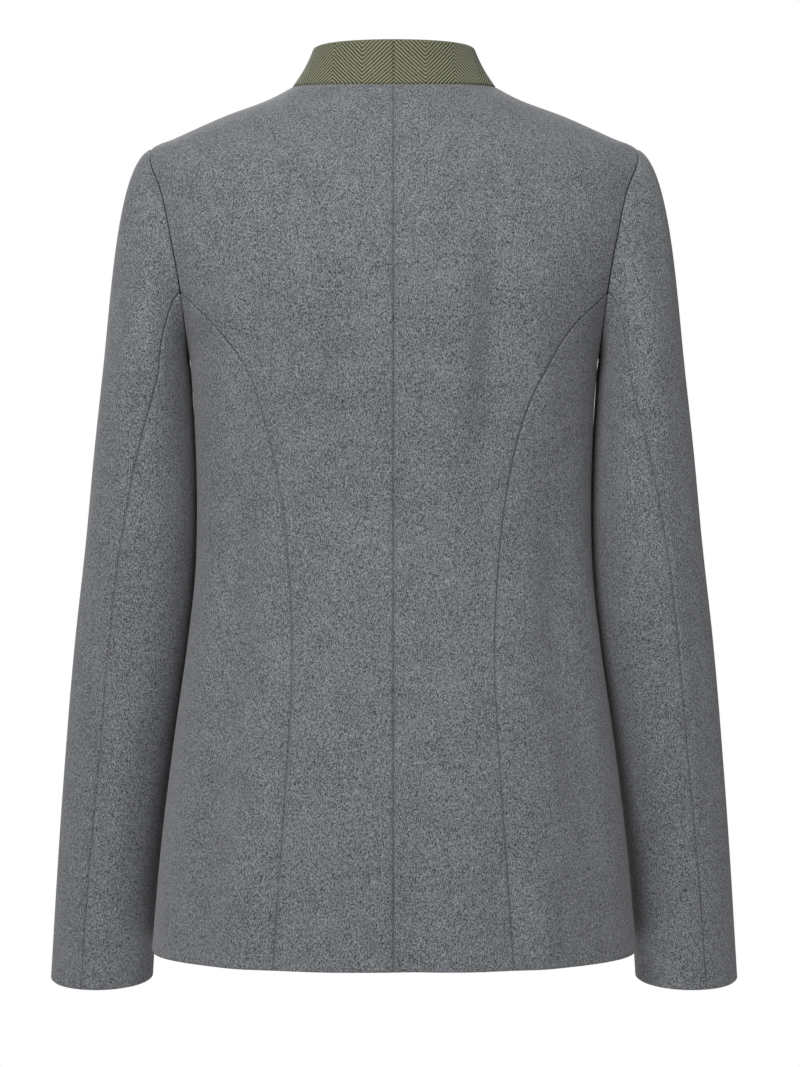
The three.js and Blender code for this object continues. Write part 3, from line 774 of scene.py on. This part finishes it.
def sleeve_panel(upper):
    """A grid over the cap and the tube between the two seams; upper goes over the shoulder."""
    cap, tube = np.linspace(0.05, 1, 50), np.linspace(1, 2 - 0.0075, 110)
    ways = np.unique(np.concatenate([CAP_EDGE, cap, tube, 2 - EDGE_STEPS / TUBE_LENGTH]).round(4))
    ring = sleeve_ring(CAP_END + (CUFF - CAP_END) * np.maximum(ways - 1, 0))
    s = np.clip(ways, 0, 1)
    back = PRINCESS_TURN * (1 - s) + np.radians(ring["back_seam"]) * s
    front = (2 * math.pi - PRINCESS_TURN) * (1 - s) + np.radians(ring["front_seam"]) * s
    end = front - 2 * math.pi if upper else front
    rough = sleeve_point(back + (end - back) * ROUGH_SHARES, ways)
    width = np.linalg.norm(np.diff(rough, axis=0), axis=-1).sum(axis=0)
    share = shares_across(width, UPPER_INNER if upper else UNDER_INNER)
    turn = back[:, None] + (end - back)[:, None] * share
    way = np.broadcast_to(ways[:, None], turn.shape)
    points = sleeve_point(turn, way)
    near = np.clip(way, CAP_EDGE[1], 2)
    normal = -normal_of(sleeve_point, turn, near, 0.002, 0.0008)
    centre = np.stack([np.full_like(turn, SLEEVE_MIDDLE), np.zeros_like(turn), points[..., 2]], axis=-1)
    if (normal * (points - centre)).sum(axis=-1).mean() < 0:
        normal = -normal
    calm = np.clip(way * CALM_RISE, 0, 1)
    move = sleeve_lift(turn, way) * calm - edge_roll(points, low=SOFT_SEAM)
    return points + normal * move[..., None]


for name, upper in (("upper_sleeve", True), ("under_sleeve", False)):
    grid = sleeve_panel(upper)
    add_pair(name, grid, grid)

# %% [markdown]
# ## The stand collar
# The collar stands on the neck seam and leans in, in two halves that are joined at centre back.

# %% Collar
TOP_HALF_WIDTH, TOP_BACK, TOP_FRONT = 60, 51, 59
TOP_SIDE_Z, TOP_BACK_Z, TOP_FRONT_Z = 30, 28.5, -34
COLLAR_HEIGHT = 34
COLLAR_LENGTH = 220.0
COLLAR_INNER = 90
COLLAR_ROLL = 0.8
FRONT_REACH = 62
COLLAR_HOLLOW = 1.6
COLLAR_END = 3
COLLAR_CORNER = 10


def collar_point(angle, up):
    """From the neck ring to an oval top ring: a straight blend with a small hollow, a half sine, between."""
    angle, up = np.broadcast_arrays(np.asarray(angle, float), np.asarray(up, float))
    base = body_point(angle, np.full_like(angle, NECK))
    behind = np.cos(angle) >= 0
    depth = np.where(behind, TOP_BACK, TOP_FRONT)
    end_z = np.where(behind, TOP_BACK_Z, TOP_FRONT_Z)
    reach = 1 / np.hypot(np.sin(angle) / TOP_HALF_WIDTH, np.cos(angle) / depth)
    x, y = reach * np.sin(angle), reach * np.cos(angle)
    top = np.stack([x, y, TOP_SIDE_Z + (end_z - TOP_SIDE_Z) * (y / depth) ** 2], axis=-1)
    point = base + (top - base) * up[..., None]
    hollow = COLLAR_HOLLOW * np.sin(math.pi * up)
    return point - np.stack([hollow * np.sin(angle), hollow * np.cos(angle), hollow * 0], axis=-1)


def collar_panel():
    """Half the collar from centre back, with its front top corner rounded by a quarter circle."""
    edge = EDGE_STEPS / COLLAR_HEIGHT
    ups = np.unique(np.concatenate([edge, np.linspace(0.1, 0.9, 14), 1 - edge]))
    end = angle_at_out(NECK, COLLAR_END, -1)
    angle = shares_across(COLLAR_LENGTH, COLLAR_INNER) * end
    angle, up = np.meshgrid(angle, ups)
    away = np.clip(1 - (end - angle) * FRONT_REACH / COLLAR_CORNER, 0, 1)
    drop = 1 - np.sqrt(1 - away ** 2)
    up = up * (1 - drop * COLLAR_CORNER / COLLAR_HEIGHT)
    points = collar_point(angle, up)
    normal = normal_of(collar_point, angle, np.clip(up, 0.01, 0.99), 0.002, 0.004)
    return points - normal * edge_roll(points)[..., None] * COLLAR_ROLL


collar = collar_panel()
add_pair("collar", collar, collar, COLLAR_WALL, twill)

# %% [markdown]
# ## The buttons
# The frame's own buttons are kept, and only take the horn.

# %% Buttons
for name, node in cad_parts.items():
    if name.startswith("button"):
        node.data.materials.clear()
        node.data.materials.append(horn)
        print(name, "is horn")

# %% [markdown]
# ## The floor
# A plain pale floor well below the jacket, which hangs as if worn.

# %% Floor
FLOOR_REACH = 1.5
floor_mesh = bpy.data.meshes.new("floor")
corners = [(x * FLOOR_REACH, y * FLOOR_REACH, FLOOR_HEIGHT) for x, y in ((-1, -1), (1, -1), (1, 1), (-1, 1))]
floor_mesh.from_pydata(corners, [], [(0, 1, 2, 3)])
floor = bpy.data.objects.new("floor", floor_mesh)
bpy.context.collection.objects.link(floor)
floor_material = Material("floor")
floor_material.shader.inputs["Base Color"].default_value = (0.9, 0.9, 0.9, 1)
floor_mesh.materials.append(floor_material.material)
print("floor at", FLOOR_HEIGHT, "m")
